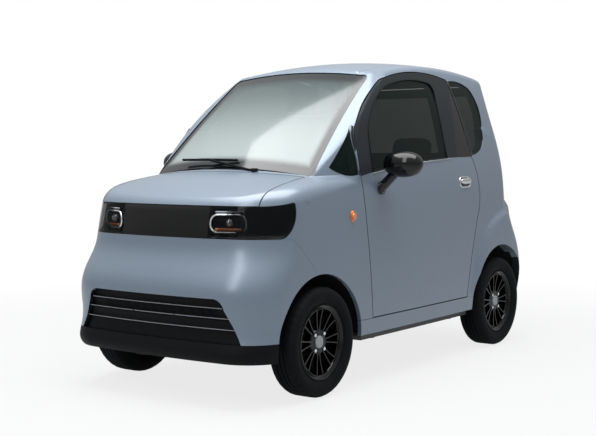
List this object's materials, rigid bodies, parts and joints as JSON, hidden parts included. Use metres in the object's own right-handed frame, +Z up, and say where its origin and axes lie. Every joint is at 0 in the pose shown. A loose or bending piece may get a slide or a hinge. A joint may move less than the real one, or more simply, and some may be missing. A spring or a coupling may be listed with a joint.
{
  "type": "microcar",
  "caption": "Short two-seat microcar with tall rounded cabin, black lamp band, side-hinged doors, lifting tailgate and steering front wheels.",
  "frame": {"origin": "on the ground, at mid-length on the centre line", "axes": "+X forward, +Y to the car's left, +Z up"},
  "size_m": [2.6188, 1.6888, 1.612],
  "materials": {
    "body_paint": "pale grey-blue metallic clearcoat",
    "gloss_black": "gloss black",
    "trim_black": "satin grey-black",
    "lip_black": "matt black",
    "glass_dark": "dark green tint",
    "glass_clear": "clear",
    "lamp_body": "smoked",
    "lamp_red": "red lens",
    "amber": "amber lens",
    "chrome_trim": "bright chrome",
    "chassis_steel": "black enamel",
    "battery_case": "grey enamel",
    "cabin_plastic": "grained dark grey",
    "seat_cloth": "dark woven cloth",
    "tyre_rubber": "matt black",
    "rim_black": "gloss black enamel",
    "axle_steel": "black and bare steel"
  },
  "bodies": {
    "body": {"arch_liners": "chassis_steel", "battery_pack": "battery_case", "body_side_left": "body_paint", "body_side_right": "body_paint", "body_tub": "chassis_steel", "bumper_lip": "lip_black", "cowl": "body_paint", "dashboard": "cabin_plastic", "fender_left": "body_paint", "fender_right": "body_paint", "front_bumper": "body_paint", "front_subframe": "axle_steel", "grille": "lip_black", "headlamp_lenses": "glass_clear", "headlamps": "lamp_body", "lamp_panel": "gloss_black", "quarter_glass": "glass_dark", "rear_axle": "axle_steel", "rear_bumper": "body_paint", "roof": "body_paint", "seat_bases": "cabin_plastic", "seats": "seat_cloth", "side_indicators": "amber", "sills": "body_paint", "steering_column": "cabin_plastic", "tail_lamps": "lamp_red", "windscreen": "glass_clear", "wiper": "lip_black"},
    "bonnet": {"bonnet": "body_paint"},
    "tailgate": {"tailgate": "body_paint", "tailgate_glass": "glass_dark"},
    "steering_wheel": {"steering_wheel": "cabin_plastic"},
    "door_left": {"door_left": "body_paint", "door_frame_left": "trim_black", "door_glass_left": "glass_dark", "handle_left": "chrome_trim", "mirror_left": "gloss_black"},
    "knuckle_left": {"knuckle_left": "axle_steel"},
    "wheel_front_left": {"tyre_front_left": "tyre_rubber", "rim_front_left": "rim_black"},
    "wheel_rear_left": {"tyre_rear_left": "tyre_rubber", "rim_rear_left": "rim_black"},
    "door_right": {"door_right": "body_paint", "door_frame_right": "trim_black", "door_glass_right": "glass_dark", "handle_right": "chrome_trim", "mirror_right": "gloss_black"},
    "knuckle_right": {"knuckle_right": "axle_steel"},
    "wheel_front_right": {"tyre_front_right": "tyre_rubber", "rim_front_right": "rim_black"},
    "wheel_rear_right": {"tyre_rear_right": "tyre_rubber", "rim_rear_right": "rim_black"}
  },
  "joints": [
    {"name": "steer_left", "type": "hinge", "parent": "body", "child": "knuckle_left", "pos_m": [0.8225, 0.43, 0.254], "axis": [0, 0, 1], "range_deg": [-30, 30]},
    {"name": "wheel_front_left", "type": "hinge", "parent": "knuckle_left", "child": "wheel_front_left", "pos_m": [0.8225, 0.552, 0.254], "axis": [0, 1, 0], "continuous": true},
    {"name": "wheel_rear_left", "type": "hinge", "parent": "body", "child": "wheel_rear_left", "pos_m": [-0.9425, 0.552, 0.254], "axis": [0, 1, 0], "continuous": true},
    {"name": "door_left_hinge", "type": "hinge", "parent": "body", "child": "door_left", "pos_m": [0.455, 0.624, 0.7], "axis": [0, 0, -1], "range_deg": [0, 65]},
    {"name": "steer_right", "type": "hinge", "parent": "body", "child": "knuckle_right", "pos_m": [0.8225, -0.43, 0.254], "axis": [0, 0, 1], "range_deg": [-30, 30]},
    {"name": "wheel_front_right", "type": "hinge", "parent": "knuckle_right", "child": "wheel_front_right", "pos_m": [0.8225, -0.552, 0.254], "axis": [0, 1, 0], "continuous": true},
    {"name": "wheel_rear_right", "type": "hinge", "parent": "body", "child": "wheel_rear_right", "pos_m": [-0.9425, -0.552, 0.254], "axis": [0, 1, 0], "continuous": true},
    {"name": "door_right_hinge", "type": "hinge", "parent": "body", "child": "door_right", "pos_m": [0.455, -0.624, 0.7], "axis": [0, 0, 1], "range_deg": [0, 65]},
    {"name": "steering_turn", "type": "hinge", "parent": "body", "child": "steering_wheel", "pos_m": [0.212, 0.265, 0.868], "axis": [-0.9063, 0, 0.4226], "range_deg": [-450, 450]},
    {"name": "bonnet_hinge", "type": "hinge", "parent": "body", "child": "bonnet", "pos_m": [0.757, 0, 1.04], "axis": [0, -1, 0], "range_deg": [0, 55]},
    {"name": "tailgate_hinge", "type": "hinge", "parent": "body", "child": "tailgate", "pos_m": [-1.12, 0, 1.5035], "axis": [0, 1, 0], "range_deg": [0, 80]}
  ],
  "couplings": [
    {"joint": "steer_right", "follows": "steer_left", "ratio": 1},
    {"joint": "steering_turn", "follows": "steer_left", "ratio": 15}
  ]
}
